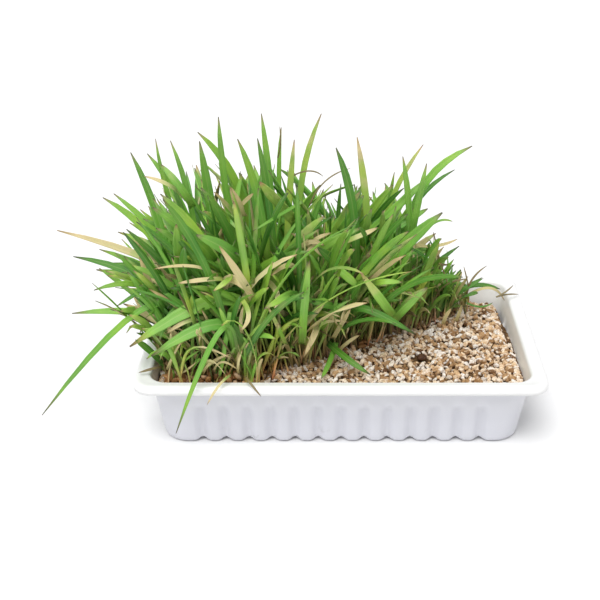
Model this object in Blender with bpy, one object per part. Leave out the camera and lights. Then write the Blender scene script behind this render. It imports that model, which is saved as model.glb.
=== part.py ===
"""Wheatgrass growing in a shallow fluted plastic tray, part filled with bare granules.

Units are metres, +Z is up, +X is the tray's right and +Y its back.
The origin is the centre of the tray's underside.
"""

import math
import random

import bmesh
import bpy
from mathutils import Matrix, Vector
from mathutils.bvhtree import BVHTree

MM = 0.001
CLEAR = 0.3 * MM

# Tray
RIM_LENGTH = 250 * MM
RIM_DEPTH = 156 * MM
TRAY_HEIGHT = 48 * MM
SHEET = 0.9 * MM
RIM_CORNER = 12 * MM
SKIRT_DROP = 5 * MM
RIM_TOP = 8.5 * MM
RIM_ROLL = 1.6 * MM
WALL_DRAFT = 0.105
FOOT_CORNER = 17 * MM
FLUTE_PITCH = 14.33 * MM
FLUTE_DEPTH = 3 * MM
FLUTES_LONG = 13
FLUTES_SHORT = 6
FLUTE_SHARES = (0.0, 0.22, 1.0, 0.22)
FLUTE_TOP = 30 * MM
FLUTE_FULL = 25.5 * MM
FLOOR_EDGE = 4.5 * MM
FLOOR_ROUND = 3.2 * MM
FLUTE_LIFT = 2.4 * MM
FLUTE_RUN = 15 * MM
ARC_STEPS = 4

# Granule bed
BED_LEVEL = 34 * MM
BED_FALL = 0.04
BED_CELLS = (26, 15)
GRAIN_RISE = 1.7 * MM
GRAIN_SHIFT = 1.6 * MM
BED_SHOULDER = 26 * MM

# Clumps of seedlings
SITE_SPACING = 19.4 * MM
SITE_JITTER = 1.5 * MM
SITE_REACH = (101 * MM, 53 * MM)
EDGE_START = (-50 * MM, -47 * MM)
EDGE_SLOPE = 0.735
CROWN_RADIUS = 7.4 * MM
CROWN_SINK = 5 * MM
CROWN_RISE = 4 * MM
CROWN_SIDES = 6
BLADES_GREEN = 8
BLADES_STRAW = 4

KERNEL_SIZE = (3.5 * MM, 1.7 * MM, 1.6 * MM)
KERNEL_FRONT = (-45 * MM, -25 * MM)
HUSK_SPOT = (52 * MM, -22 * MM)
HUSK_SIZE = (3.4 * MM, 3.0 * MM, 2.0 * MM)

# Blades
LEADING_STATIONS = (0.0, 0.25, 0.5, 0.76, 0.93)
LONG_STATIONS = (0.0, 0.33, 0.64, 0.9)
SHORT_STATIONS = (0.0, 0.4, 0.82)
TIP_TAPER = 0.18
KEEL = 1.0 * MM
BLADE_CLEAR = 0.45 * MM
TRIES = 60
TANGLE_TRIES = 45
FILLER_REACH = ((-150 * MM, -74 * MM), (92 * MM, 104 * MM))
EYE_DISTANCE = 597.6 * MM
EYE_HEIGHT = 371.9 * MM
CREST = 162 * MM
CREST_LEFT = (-175 * MM, -85 * MM, 75 * MM)
CREST_MIDDLE = (-50 * MM, -5 * MM, 14 * MM)
CREST_RIGHT = (30 * MM, 92 * MM, 68 * MM)
SPREAD_FLOOR = 64 * MM

# Leaves that give the clump its outline: tip, knee, width in millimetres, and colour.
LEADING = (
    ((-98, -88, 23), (-63, -71, 117), 3.2, "green"),
    ((-182, -70, 24), (-98, -57, 130), 3.6, "green"),
    ((-124, -70, 72), (-52, -48, 118), 8.0, "green"),
    ((-111, -74, 68), (-59, -56, 99), 7.0, "green"),
    ((-167, -30, 73), (-101, -30, 81), 4.5, "green"),
    ((-149, -40, 94), (-115, -32, 105), 3.5, "green"),
    ((-159, 10, 84), (-108, -3, 84), 5.5, "green"),
    ((-170, 0, 98), (-114, 0, 88), 4.5, "green"),
    ((-158, 20, 94), (-111, -2, 91), 4.0, "green"),
    ((-178, 0, 116), (-89, 0, 92), 4.6, "straw"),
    ((-147, 30, 102), (-104, 8, 99), 4.5, "green"),
    ((-147, 0, 138), (-108, 0, 114), 4.6, "green"),
    ((-147, 30, 129), (-116, 19, 107), 4.0, "green"),
    ((-127, 0, 167), (-108, 0, 119), 4.6, "green"),
    ((-123, 30, 156), (-98, 17, 132), 4.0, "green"),
    ((-115, 20, 169), (-112, 20, 116), 3.0, "green"),
    ((-99, -20, 181), (-85, -20, 139), 3.4, "green"),
    ((-90, 30, 170), (-58, 30, 140), 5.0, "green"),
    ((-85, 0, 174), (-79, 0, 123), 5.8, "green"),
    ((-74, 10, 186), (-74, 10, 133), 4.2, "green"),
    ((-60, -20, 182), (-44, -20, 143), 4.6, "green"),
    ((-48, 10, 188), (-43, 10, 138), 4.2, "green"),
    ((-48, -25, 184), (-41, -25, 145), 4.0, "green"),
    ((-38, 40, 170), (-44, 40, 122), 3.0, "green"),
    ((-28, 0, 175), (-34, 0, 126), 4.0, "straw"),
    ((-12, 20, 185), (-34, 20, 135), 3.8, "green"),
    ((-3, 0, 170), (14, 0, 128), 5.2, "green"),
    ((10, 20, 170), (19, 20, 120), 4.6, "straw"),
    ((0, 35, 134), (-5, 35, 89), 3.2, "green"),
    ((38, 10, 161), (46, 10, 120), 4.0, "green"),
    ((52, 30, 162), (25, 30, 123), 3.2, "green"),
    ((83, 30, 161), (38, 24, 142), 4.8, "green"),
    ((52, 0, 160), (45, 0, 118), 4.2, "green"),
    ((75, 50, 138), (39, 41, 121), 3.2, "green"),
    ((63, 0, 128), (29, 0, 98), 8.0, "green"),
    ((81, 50, 83), (52, 45, 64), 3.6, "green"),
    ((35, 45, 138), (29, 45, 102), 3.2, "green"),
    ((98, 48, 60), (72, 39, 48), 3.2, "green"),
    ((84, 20, 52), (43, 10, 61), 4.4, "green"),
    ((110, 42, 54), (90, 39, 64), 3.0, "green"),
    ((-71, -72, 54), (-67, -61, 99), 3.2, "green"),
    ((-44, -72, 98), (-13, -50, 108), 5.5, "green"),
    ((47, -30, 58), (1, -30, 89), 4.6, "green"),
    ((-23, -52, 54), (-6, -41, 84), 4.0, "straw"),
    ((-51, -60, 100), (-74, -48, 124), 5.2, "straw"),
    ((-20, -40, 113), (-23, -40, 67), 5.2, "green"),
    ((18, -52, 42), (-7, -45, 56), 4.0, "green"),
)


def clear_scene():
    for thing in list(bpy.data.objects):
        bpy.data.objects.remove(thing)


def material(name, colour, roughness):
    finish = bpy.data.materials.new(name)
    finish.use_nodes = True
    shader = finish.node_tree.nodes["Principled BSDF"]
    shader.inputs["Base Color"].default_value = (*colour, 1.0)
    shader.inputs["Roughness"].default_value = roughness
    shader.inputs["Metallic"].default_value = 0.0
    return finish


def mesh_object(name, bm, finish):
    mesh = bpy.data.meshes.new(name)
    bm.to_mesh(mesh)
    bm.free()
    mesh.materials.append(finish)
    thing = bpy.data.objects.new(name, mesh)
    bpy.context.scene.collection.objects.link(thing)
    return thing


def smooth_step(low, high, value):
    share = min(1.0, max(0.0, (value - low) / (high - low)))
    return share * share * (3 - 2 * share)


# Tray

def wall_half(z):
    """Half length, half depth and corner radius of the wall's outer face at height z."""
    lean = (TRAY_HEIGHT - z) * WALL_DRAFT
    corner = RIM_CORNER + (FOOT_CORNER - RIM_CORNER) * (1 - z / TRAY_HEIGHT)
    return (RIM_LENGTH / 2 - RIM_TOP - lean, RIM_DEPTH / 2 - RIM_TOP - lean, corner)


def flute_stations(count, per_flute):
    """Places along one side, each with its share of the flute's depth."""
    shares = FLUTE_SHARES if per_flute == 4 else FLUTE_SHARES[::2]
    start = -count * FLUTE_PITCH / 2
    steps = count * per_flute
    return [(start + step * FLUTE_PITCH / per_flute, shares[step % per_flute]) for step in range(steps + 1)]


def tray_ring(bm, half, z, depth=0.0, lift=0.0, per_flute=0):
    """A closed loop round the tray: flutes cut in by depth along each side, plain round corners."""
    half_x, half_y, corner = half
    loop = []
    for side in range(4):
        angle = side * math.pi / 2
        out = Vector((round(math.cos(angle)), round(math.sin(angle)), 0))
        along = Vector((-out.y, out.x, 0))
        reach, span = (half_x, half_y) if side % 2 == 0 else (half_y, half_x)
        count = FLUTES_SHORT if side % 2 == 0 else FLUTES_LONG
        stations = flute_stations(count, per_flute) if per_flute else ()
        for place, share in stations:
            spot = out * (reach - depth * share) + along * place
            loop.append(bm.verts.new((spot.x, spot.y, z + lift * share)))
        centre = out * (reach - corner) + along * (span - corner)
        for step in range(ARC_STEPS + 1):
            turn = angle + step / ARC_STEPS * math.pi / 2
            spot = centre + Vector((math.cos(turn), math.sin(turn), 0)) * corner
            loop.append(bm.verts.new((spot.x, spot.y, z)))
    return [bm.edges.new((loop[n - 1], loop[n])) for n in range(len(loop))]


def shrunk(half, amount):
    return (half[0] - amount, half[1] - amount, max(half[2] - amount, 2 * MM))


def make_tray(finish):
    """A vacuum-formed sheet: its lower face is modelled and Solidify gives the wall."""
    bm = bmesh.new()
    skirt = (RIM_LENGTH / 2 - SHEET, RIM_DEPTH / 2 - SHEET, RIM_CORNER - SHEET)
    top = TRAY_HEIGHT - SHEET
    rings = [
        tray_ring(bm, skirt, TRAY_HEIGHT - SKIRT_DROP),
        tray_ring(bm, skirt, top - RIM_ROLL),
        tray_ring(bm, shrunk(skirt, RIM_ROLL), top),
        tray_ring(bm, wall_half(top), top - 0.5 * MM),
        tray_ring(bm, wall_half(FLUTE_TOP), FLUTE_TOP, per_flute=4),
        tray_ring(bm, wall_half(FLUTE_FULL), FLUTE_FULL, depth=FLUTE_DEPTH, per_flute=4),
        tray_ring(bm, wall_half(FLOOR_EDGE), FLOOR_EDGE, depth=FLUTE_DEPTH, per_flute=4),
        tray_ring(bm, shrunk(wall_half(0), FLOOR_ROUND), 0, depth=FLUTE_DEPTH * 0.7,
                  lift=FLUTE_LIFT, per_flute=4),
        tray_ring(bm, shrunk(wall_half(0), FLUTE_RUN), 0, per_flute=2),
    ]
    for upper, lower in zip(rings, rings[1:]):
        bmesh.ops.bridge_loops(bm, edges=upper + lower)
    floor = bmesh.ops.contextual_create(bm, geom=rings[-1])["faces"]
    bmesh.ops.recalc_face_normals(bm, faces=bm.faces)
    if floor[0].normal.z > 0:
        bmesh.ops.reverse_faces(bm, faces=bm.faces)
    tray = mesh_object("tray", bm, finish)
    wall = tray.modifiers.new("sheet", "SOLIDIFY")
    wall.thickness = SHEET
    wall.offset = -1
    wall.use_even_offset = True
    return tray


# Granule bed

def bed_height(y):
    return BED_LEVEL - BED_FALL * y


def into_corner(x, y, half):
    """Pull a point of the grid's square corner onto the round corner of the tray."""
    half_x, half_y, corner = half
    over_x = abs(x) - (half_x - corner)
    over_y = abs(y) - (half_y - corner)
    if over_x <= 0 or over_y <= 0:
        return x, y
    pull = min(1.0, corner / math.hypot(over_x, over_y))
    return (math.copysign(half_x - corner + over_x * pull, x),
            math.copysign(half_y - corner + over_y * pull, y))


def drop_skirt(bm, rim, start, half, z):
    """Extrude the bed's edge down to the next outline."""
    made = bmesh.ops.extrude_edge_only(bm, edges=rim)["geom"]
    for vert in (item for item in made if isinstance(item, bmesh.types.BMVert)):
        vert.co.x *= half[0] / start[0]
        vert.co.y *= half[1] / start[1]
        vert.co.z = z
    return [item for item in made if isinstance(item, bmesh.types.BMEdge)]


def make_bed(finish):
    """Granules as coarse relief on one block that fills the tray clear of its flutes."""
    rng = random.Random(5)
    bm = bmesh.new()
    bmesh.ops.create_grid(bm, x_segments=BED_CELLS[0], y_segments=BED_CELLS[1], size=1)
    edge = {vert for vert in bm.verts if vert.is_boundary}
    for vert in bm.verts:
        level = bed_height(vert.co.y * RIM_DEPTH / 2)
        half = shrunk(wall_half(level), SHEET + 2 * CLEAR)
        x, y = into_corner(vert.co.x * half[0], vert.co.y * half[1], half)
        grain = 0.2 if vert in edge else 1.0
        shift = 0.0 if vert in edge else GRAIN_SHIFT
        vert.co = (x + rng.uniform(-shift, shift), y + rng.uniform(-shift, shift),
                   level + rng.uniform(-GRAIN_RISE, GRAIN_RISE) * grain)
    rim = [line for line in bm.edges if line.is_boundary]
    top = shrunk(wall_half(BED_LEVEL), SHEET + 2 * CLEAR)
    inner = FLUTE_DEPTH + SHEET + 2 * CLEAR
    levels = (
        (shrunk(wall_half(BED_SHOULDER), inner), BED_SHOULDER),
        (shrunk(wall_half(FLOOR_EDGE), inner), FLOOR_EDGE + SHEET),
        (shrunk(wall_half(0), FLUTE_RUN + CLEAR), SHEET + CLEAR),
    )
    for half, z in levels:
        rim = drop_skirt(bm, rim, top, half, z)
        top = half
    bmesh.ops.contextual_create(bm, geom=rim)
    bmesh.ops.recalc_face_normals(bm, faces=bm.faces)
    return mesh_object("granule_bed", bm, finish)


# Where the seedlings stand

def in_grass(x, y):
    """The grass fills the left and the back; the front right is bare."""
    if abs(x) > SITE_REACH[0] or abs(y) > SITE_REACH[1]:
        return False
    return x < EDGE_START[0] or y > EDGE_START[1] + (x - EDGE_START[0]) * EDGE_SLOPE


def clump_sites():
    rng = random.Random(11)
    sites = []
    row_step = SITE_SPACING * math.sqrt(3) / 2
    rows = int(SITE_REACH[1] * 2 / row_step) + 1
    columns = int(SITE_REACH[0] * 2 / SITE_SPACING) + 2
    for row in range(rows):
        for column in range(columns):
            x = -SITE_REACH[0] + SITE_SPACING * (column + 0.5 * (row % 2))
            y = -SITE_REACH[1] + row_step * row
            x += rng.uniform(-SITE_JITTER, SITE_JITTER)
            y += rng.uniform(-SITE_JITTER, SITE_JITTER)
            if in_grass(x, y):
                sites.append(Vector((x, y, bed_height(y))))
    return sites


def nearest(sites, spot):
    return min(range(len(sites)), key=lambda n: (sites[n].xy - spot.xy).length)


# Blades

class Blade:
    """One leaf on a cubic curve from its crown, by a rise and a knee, to its tip."""

    def __init__(self, points, stations, width, facing, tilt, twist):
        self.points = points
        self.stations = stations
        self.width = width
        self.facing = facing
        self.tilt = tilt
        self.twist = twist

    def at(self, s):
        a, b, c, d = self.points
        r = 1 - s
        return a * r ** 3 + b * (3 * r * r * s) + c * (3 * r * s * s) + d * s ** 3

    def heading(self, s):
        a, b, c, d = self.points
        r = 1 - s
        return ((b - a) * (r * r) + (c - b) * (2 * r * s) + (d - c) * (s * s)).normalized()

    def across(self, s):
        """Unit vectors across the leaf and out of its back."""
        turn = self.facing + self.twist * s
        face = Vector((math.cos(turn), math.sin(turn), self.tilt))
        side = self.heading(s).cross(face).normalized()
        return side, self.heading(s).cross(side).normalized()

    def breadth(self, s):
        """A slim sheath that opens into the leaf and runs out to a point."""
        sheath = 0.45 + 0.55 * smooth_step(0.1, 0.45, s)
        return self.width * sheath * min(1.0, (1 - s) / TIP_TAPER) ** 0.55


def blade_skin(blade, grow=0.0):
    """Three corners at each station and one at the tip, split alike on every side."""
    points = []
    for s in blade.stations:
        spot = blade.at(s)
        side, back = blade.across(s)
        half = blade.breadth(s) / 2 + grow
        points += [spot - side * half, spot + side * half, spot + back * (KEEL + grow)]
    points.append(blade.at(1.0))
    tip = len(points) - 1
    faces = [(0, 2, 1)]
    for ring in range(len(blade.stations) - 1):
        for corner in range(3):
            a = ring * 3 + corner
            b = ring * 3 + (corner + 1) % 3
            faces += [(a, b, b + 3), (a, b + 3, a + 3)]
    for corner in range(3):
        faces.append((tip - 3 + corner, tip - 3 + (corner + 1) % 3, tip))
    return points, faces


def folded(blade):
    """Whether a filler's skin crosses itself, as in a bend that is too tight."""
    if blade.stations is LEADING_STATIONS:
        return False
    points, faces = blade_skin(blade)
    tree = BVHTree.FromPolygons(points, faces)
    return any(not set(faces[a]) & set(faces[b]) for a, b in tree.overlap(tree))


def clears_tray(blade):
    """The leaf stays above the granules and the rim, and off the ground."""
    if blade.stations is not LEADING_STATIONS and not within_reach(blade):
        return False
    for step in range(3, 17):
        spot = blade.at(step / 16)
        inside_x = abs(spot.x) - RIM_LENGTH / 2
        inside_y = abs(spot.y) - RIM_DEPTH / 2
        if inside_x > 3 * MM or inside_y > 3 * MM:
            floor = 8 * MM
        elif inside_x > -RIM_TOP - 6 * MM or inside_y > -RIM_TOP - 6 * MM:
            floor = TRAY_HEIGHT + 2.5 * MM
        else:
            floor = bed_height(spot.y) + 3 * MM
        if spot.z < floor:
            return False
    return True


def crown_foot(crown, around, rng):
    """A leaf starts on the side of its crown that it leans to."""
    around += rng.uniform(-0.9, 0.9)
    return crown + Vector((math.cos(around), math.sin(around), 0)) * rng.uniform(1.5, 4.9) * MM


def slid(spot, amount):
    """A spot moved along the line of sight, so that it shows in the same place."""
    return spot + (spot - Vector((0, -EYE_DISTANCE, EYE_HEIGHT))).normalized() * amount


def leading_blade(crown, row, attempt):
    """A leaf of the outline, slid along the line of sight until it hangs clear."""
    rng = random.Random(attempt + 7 * int(row[0][0]))
    slide = rng.uniform(-1.0, 1.0) * attempt * MM
    tip = slid(Vector(row[0]) * MM, slide)
    knee = slid(Vector(row[1]) * MM, slide * 0.8)
    foot = crown_foot(crown, math.atan2(knee.y - crown.y, knee.x - crown.x), rng)
    rise = foot.lerp(knee, 0.15)
    rise.z = foot.z + (knee.z - foot.z) * 0.6
    return Blade((foot, rise, knee, tip), LEADING_STATIONS, row[2] * MM, math.radians(-90), 0.6, 0.0)


def crest(x):
    """How high the body of the grass shows from the front, over the tray's middle line."""
    fall = CREST_LEFT[2] * (1 - smooth_step(CREST_LEFT[0], CREST_LEFT[1], x))
    fall += CREST_MIDDLE[2] * smooth_step(CREST_MIDDLE[0], CREST_MIDDLE[1], x)
    fall += CREST_RIGHT[2] * smooth_step(CREST_RIGHT[0], CREST_RIGHT[1], x)
    return CREST - fall


def room_above(spot):
    """How far it is from a spot up to where the crest cuts the line of sight over it."""
    share = EYE_DISTANCE / (EYE_DISTANCE + spot.y)
    return EYE_HEIGHT - (EYE_HEIGHT - crest(spot.x * share)) / share - spot.z


def within_reach(blade):
    """Fillers stay inside the outline that the leading leaves give."""
    low, high = FILLER_REACH
    tip = blade.at(1.0)
    if not (low[0] < tip.x < high[0] and low[1] < tip.y < high[1]):
        return False
    if tip.x < -RIM_LENGTH / 2 and tip.z < SPREAD_FLOOR:
        return False
    return min(room_above(blade.at(s)) for s in (0.6, 0.8, 1.0)) > 0


def filler_blade(crown, number, attempt, straw):
    """A leaf that leans out from the middle of the clump and droops at the tip."""
    rng = random.Random(int(abs(crown.x) * 1e5) * 97 + number * 61 + attempt)
    short = number % 3 == 2
    reach = room_above(crown) * (rng.uniform(0.5, 0.85) if short else rng.uniform(0.9, 1.35))
    reach *= 0.85 if straw else 1.0
    outward = math.atan2(crown.y * 1.3, crown.x + 20 * MM)
    around = outward + rng.gauss(0.0, 1.2)
    spread = 30 * smooth_step(35 * MM, 110 * MM, abs(crown.x + 15 * MM))
    lean = math.radians(rng.triangular(2, 34, 9) + spread * rng.random())
    droop = math.radians(rng.triangular(4, 95 if straw else 70, 22))
    spot = crown_foot(crown, around, rng)
    points = [spot]
    for share, bend in ((0.42, 0.0), (0.31, 0.45), (0.27, 1.0)):
        angle = lean + droop * bend
        level = math.sin(angle)
        spot = spot + Vector((math.cos(around) * level, math.sin(around) * level, math.cos(angle))) * reach * share
        points.append(spot)
    width = rng.uniform(2.8, 4.6) if short else rng.uniform(3.6, 6.0)
    stations = SHORT_STATIONS if short else LONG_STATIONS
    return Blade(points, stations, width * MM * (0.8 if straw else 1.0), rng.uniform(-math.pi, math.pi),
                 rng.uniform(0.1, 0.6), rng.uniform(-0.7, 0.7))


class Thicket:
    """Every leaf placed so far, so that no two clumps cross."""

    def __init__(self):
        self.placed = []

    def meets(self, clump, points, faces, own):
        """Whether the skin crosses another clump, or with own set its own clump's leaves."""
        low = [min(point[axis] for point in points) for axis in range(3)]
        high = [max(point[axis] for point in points) for axis in range(3)]
        tree = None
        for other, box_low, box_high, skin in self.placed:
            if other == ("crown", clump) or (other == clump) != own:
                continue
            if any(box_high[axis] < low[axis] or box_low[axis] > high[axis] for axis in range(3)):
                continue
            tree = tree or BVHTree.FromPolygons(points, faces)
            if tree.overlap(skin):
                return True
        return False

    def add(self, clump, points, faces):
        low = [min(point[axis] for point in points) for axis in range(3)]
        high = [max(point[axis] for point in points) for axis in range(3)]
        self.placed.append((clump, low, high, BVHTree.FromPolygons(points, faces)))

    def grow(self, clump, draw):
        """The first draw that hangs clear of every other clump, the rim and the granules."""
        for attempt in range(TRIES):
            blade = draw(attempt)
            if not clears_tray(blade) or folded(blade):
                continue
            if self.meets(clump, *blade_skin(blade, BLADE_CLEAR), own=False):
                continue
            if attempt < TANGLE_TRIES and self.meets(clump, *blade_skin(blade, CLEAR), own=True):
                continue
            self.add(clump, *blade_skin(blade))
            return [blade]
        return []


def crown_skin(site):
    """The knot of seeds and roots that a clump grows from, as a squat drum."""
    bm = bmesh.new()
    drum = bmesh.ops.create_cone(bm, cap_ends=True, segments=CROWN_SIDES, radius1=CROWN_RADIUS,
                                 radius2=CROWN_RADIUS * 0.8, depth=CROWN_SINK + CROWN_RISE)
    bmesh.ops.translate(bm, verts=drum["verts"], vec=site + Vector((0, 0, (CROWN_RISE - CROWN_SINK) / 2)))
    return bm


def plan_clumps(sites):
    """Leaves of each clump: the leading ones first, then fillers turn by turn."""
    thicket = Thicket()
    straw = {nearest(sites, Vector(row[1]) * MM * 0.93) for row in LEADING if row[3] == "straw"}
    for number, site in enumerate(sites):
        bm = crown_skin(site)
        bm.verts.ensure_lookup_table()
        thicket.add(("crown", number), [vert.co.copy() for vert in bm.verts],
                    [[vert.index for vert in face.verts] for face in bm.faces])
        bm.free()
    clumps = [[] for _ in sites]
    for row in LEADING:
        kind = [n for n in range(len(sites)) if (n in straw) == (row[3] == "straw")]
        clump = kind[nearest([sites[n] for n in kind], Vector(row[1]) * MM * 0.93)]
        crown = sites[clump] + Vector((0, 0, CROWN_RISE - 3 * MM))
        clumps[clump] += thicket.grow(clump, lambda attempt: leading_blade(crown, row, attempt))
    for number in range(BLADES_GREEN):
        for clump, site in enumerate(sites):
            limit = BLADES_STRAW if clump in straw else BLADES_GREEN
            if len(clumps[clump]) >= limit or number >= limit:
                continue
            crown = site + Vector((0, 0, CROWN_RISE - 3 * MM))
            clumps[clump] += thicket.grow(
                clump, lambda attempt: filler_blade(crown, number, attempt, clump in straw))
    return clumps, straw


def drop_scraps(mesh):
    """Keep the fused body and remove any loose sliver that the union leaves."""
    bm = bmesh.new()
    bm.from_mesh(mesh)
    left = set(bm.verts)
    bodies = []
    while left:
        front = [left.pop()]
        body = []
        while front:
            vert = front.pop()
            body.append(vert)
            linked = {line.other_vert(vert) for line in vert.link_edges} & left
            left -= linked
            front += linked
        bodies.append(body)
    main_body = max(bodies, key=len)
    for body in bodies:
        if body is not main_body:
            bmesh.ops.delete(bm, geom=body, context="VERTS")
    bm.to_mesh(mesh)
    bm.free()


def fuse(base, pieces):
    """Join the pieces to the base with one union, then remove the loose ones."""
    group = bpy.data.collections.new(base.name + "_pieces")
    bpy.context.scene.collection.children.link(group)
    for piece in pieces:
        bpy.context.scene.collection.objects.unlink(piece)
        group.objects.link(piece)
    union = base.modifiers.new("union", "BOOLEAN")
    union.operation = "UNION"
    union.operand_type = "COLLECTION"
    union.collection = group
    union.solver = "MANIFOLD"
    state = bpy.context.evaluated_depsgraph_get()
    fused = bpy.data.meshes.new_from_object(base.evaluated_get(state))
    base.modifiers.clear()
    base.data = fused
    for piece in pieces:
        bpy.data.objects.remove(piece)
    bpy.data.collections.remove(group)
    drop_scraps(base.data)


def blade_object(name, blade, finish):
    points, faces = blade_skin(blade)
    bm = bmesh.new()
    corners = [bm.verts.new(point) for point in points]
    for face in faces:
        bm.faces.new([corners[n] for n in face])
    bmesh.ops.recalc_face_normals(bm, faces=bm.faces)
    return mesh_object(name, bm, finish)


def seed_object(name, centre, size, turn, finish):
    bm = bmesh.new()
    seed = bmesh.ops.create_icosphere(bm, subdivisions=1, radius=1)
    bmesh.ops.scale(bm, verts=seed["verts"], vec=size)
    bmesh.ops.rotate(bm, verts=seed["verts"], matrix=Matrix.Rotation(turn, 3, "Z"))
    bmesh.ops.translate(bm, verts=seed["verts"], vec=centre)
    return mesh_object(name, bm, finish)


def crown_kernels(name, site, finish):
    """Sprouted kernels bedded in the crowns that the front left corner shows."""
    if site.x > KERNEL_FRONT[0] or site.y > KERNEL_FRONT[1]:
        return []
    seeds = []
    for number in range(3):
        around = number * 2.1 + site.x * 90
        spot = site + Vector((math.cos(around), math.sin(around), 0)) * CROWN_RADIUS * 0.72
        spot.z += CROWN_RISE
        seeds.append(seed_object(f"{name}_seed_{number}", spot, KERNEL_SIZE, around * 1.7, finish))
    return seeds


def make_clump(name, site, blades, finish):
    base = mesh_object(name, crown_skin(site), finish)
    leaves = [blade_object(f"{name}_leaf_{n}", blade, finish) for n, blade in enumerate(blades)]
    fuse(base, leaves + crown_kernels(name, site, finish))
    return base


def make_husk(finish):
    """A dark round seed case that lies on the bare granules."""
    spot = Vector((*HUSK_SPOT, bed_height(HUSK_SPOT[1]) + HUSK_SIZE[2] * 0.7))
    return seed_object("seed_husk", spot, HUSK_SIZE, 0.4, finish)


def bore_bed(bed, sites, finish):
    """A plain hole in the granules for each crown, and a shallow one for the husk."""
    bm = bmesh.new()
    seats = [(site, CROWN_RADIUS, CROWN_SINK) for site in sites]
    husk = Vector((*HUSK_SPOT, bed_height(HUSK_SPOT[1])))
    seats.append((husk, HUSK_SIZE[0], HUSK_SIZE[2] * 0.3))
    for spot, radius, sink in seats:
        height = 4 * CROWN_SINK
        hole = bmesh.ops.create_cone(bm, cap_ends=True, segments=CROWN_SIDES, radius1=radius + 2 * CLEAR,
                                     radius2=radius + 2 * CLEAR, depth=height)
        lift = height / 2 - sink - CLEAR
        bmesh.ops.translate(bm, verts=hole["verts"], vec=spot + Vector((0, 0, lift)))
    cutter = mesh_object("crown_holes", bm, finish)
    cutter.hide_render = True
    cutter.display_type = "WIRE"
    cut = bed.modifiers.new("crown_holes", "BOOLEAN")
    cut.operation = "DIFFERENCE"
    cut.object = cutter


def main():
    clear_scene()
    plastic = material("white_plastic", (0.86, 0.87, 0.90), 0.35)
    granules = material("granules", (0.72, 0.56, 0.36), 0.9)
    leaf = material("leaf", (0.20, 0.42, 0.08), 0.5)
    dry_leaf = material("dry_leaf", (0.74, 0.62, 0.32), 0.6)
    make_tray(plastic)
    bed = make_bed(granules)
    sites = clump_sites()
    clumps, straw = plan_clumps(sites)
    bore_bed(bed, sites, granules)
    for number, (site, blades) in enumerate(zip(sites, clumps)):
        dry = number in straw
        name = f"dry_clump_{number:02d}" if dry else f"green_clump_{number:02d}"
        make_clump(name, site, blades, dry_leaf if dry else leaf)
    make_husk(material("husk", (0.16, 0.09, 0.05), 0.7))


main()
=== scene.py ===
"""Wheatgrass in a white fluted tray: fine leaves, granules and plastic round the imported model.

Units are metres, in the model's own frame: +Z is up, +X the tray's right and +Y its back.
"""

import math
import random
from dataclasses import dataclass

import bmesh
import bpy
import numpy as np
from mathutils import Matrix, Vector
from mathutils.bvhtree import BVHTree


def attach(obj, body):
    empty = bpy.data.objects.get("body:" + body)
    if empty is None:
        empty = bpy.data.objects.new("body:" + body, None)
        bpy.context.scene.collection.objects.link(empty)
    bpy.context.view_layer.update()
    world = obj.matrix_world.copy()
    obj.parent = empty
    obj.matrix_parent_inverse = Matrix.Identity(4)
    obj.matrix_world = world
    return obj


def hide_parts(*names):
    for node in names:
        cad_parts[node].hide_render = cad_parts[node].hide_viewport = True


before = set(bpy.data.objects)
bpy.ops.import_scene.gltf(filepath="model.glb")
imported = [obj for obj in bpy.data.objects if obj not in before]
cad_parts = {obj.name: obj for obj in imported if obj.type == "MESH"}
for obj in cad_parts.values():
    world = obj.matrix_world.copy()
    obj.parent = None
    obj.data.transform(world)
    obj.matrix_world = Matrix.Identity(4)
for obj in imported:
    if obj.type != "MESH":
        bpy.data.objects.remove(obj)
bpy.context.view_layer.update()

MM = 0.001
CLEAR = 0.3 * MM

# Tray
RIM_LENGTH = 250 * MM
RIM_DEPTH = 156 * MM
TRAY_HEIGHT = 48 * MM
SHEET = 0.9 * MM
RIM_CORNER = 12 * MM
SHEET_TOP = TRAY_HEIGHT - SHEET
SKIRT_DROP = 5 * MM
RIM_ROUND = 1.7 * MM
LEDGE_ROUND = 1.5 * MM
FOOT_ROUND = 5 * MM
FOOT_INSET = 4.2 * MM
RIM_TOP = 8.5 * MM
WALL_DRAFT = 0.105
FOOT_CORNER = 17 * MM
FLUTE_PITCH = 14.33 * MM
FLUTE_DEPTH = 3 * MM
FLUTES_LONG = 13
FLUTES_SHORT = 6
FLUTE_SHARPNESS = 2.2
FLUTE_POINTS = 10
FLUTE_TOP = 30.5 * MM
FLUTE_FULL = 24 * MM
FLUTE_LIFT = 2.4 * MM
FLUTE_RUN = 15 * MM
CORNER_POINTS = 12

# Granules
BED_LEVEL = 34 * MM
BED_FALL = 0.04
BED_CELLS = (150, 88)
BED_WAIST = 22 * MM
BED_FOOT = 6 * MM
FLUTE_TUCK = 2.4 * MM
HEAPED_CHIPS = 1500
CHIP_SHAPES = 14
CHIP_SPACING = 3.2 * MM
CHIP_SIZE = (1.2 * MM, 2.9 * MM)
HUSK_SPOT = (52 * MM, -22 * MM)
HUSK_SIZE = (3.4 * MM, 3.0 * MM, 2.0 * MM)

# Sprouted grains
CROWN_GRAINS = 26
CORNER_GRAINS = 110
GRAIN_REACH = 3.3 * MM
GRAIN_SIZE = (3.3 * MM, 1.5 * MM, 1.4 * MM)
CORNER_GRAIN = (3.7 * MM, 1.9 * MM, 1.7 * MM)

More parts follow.
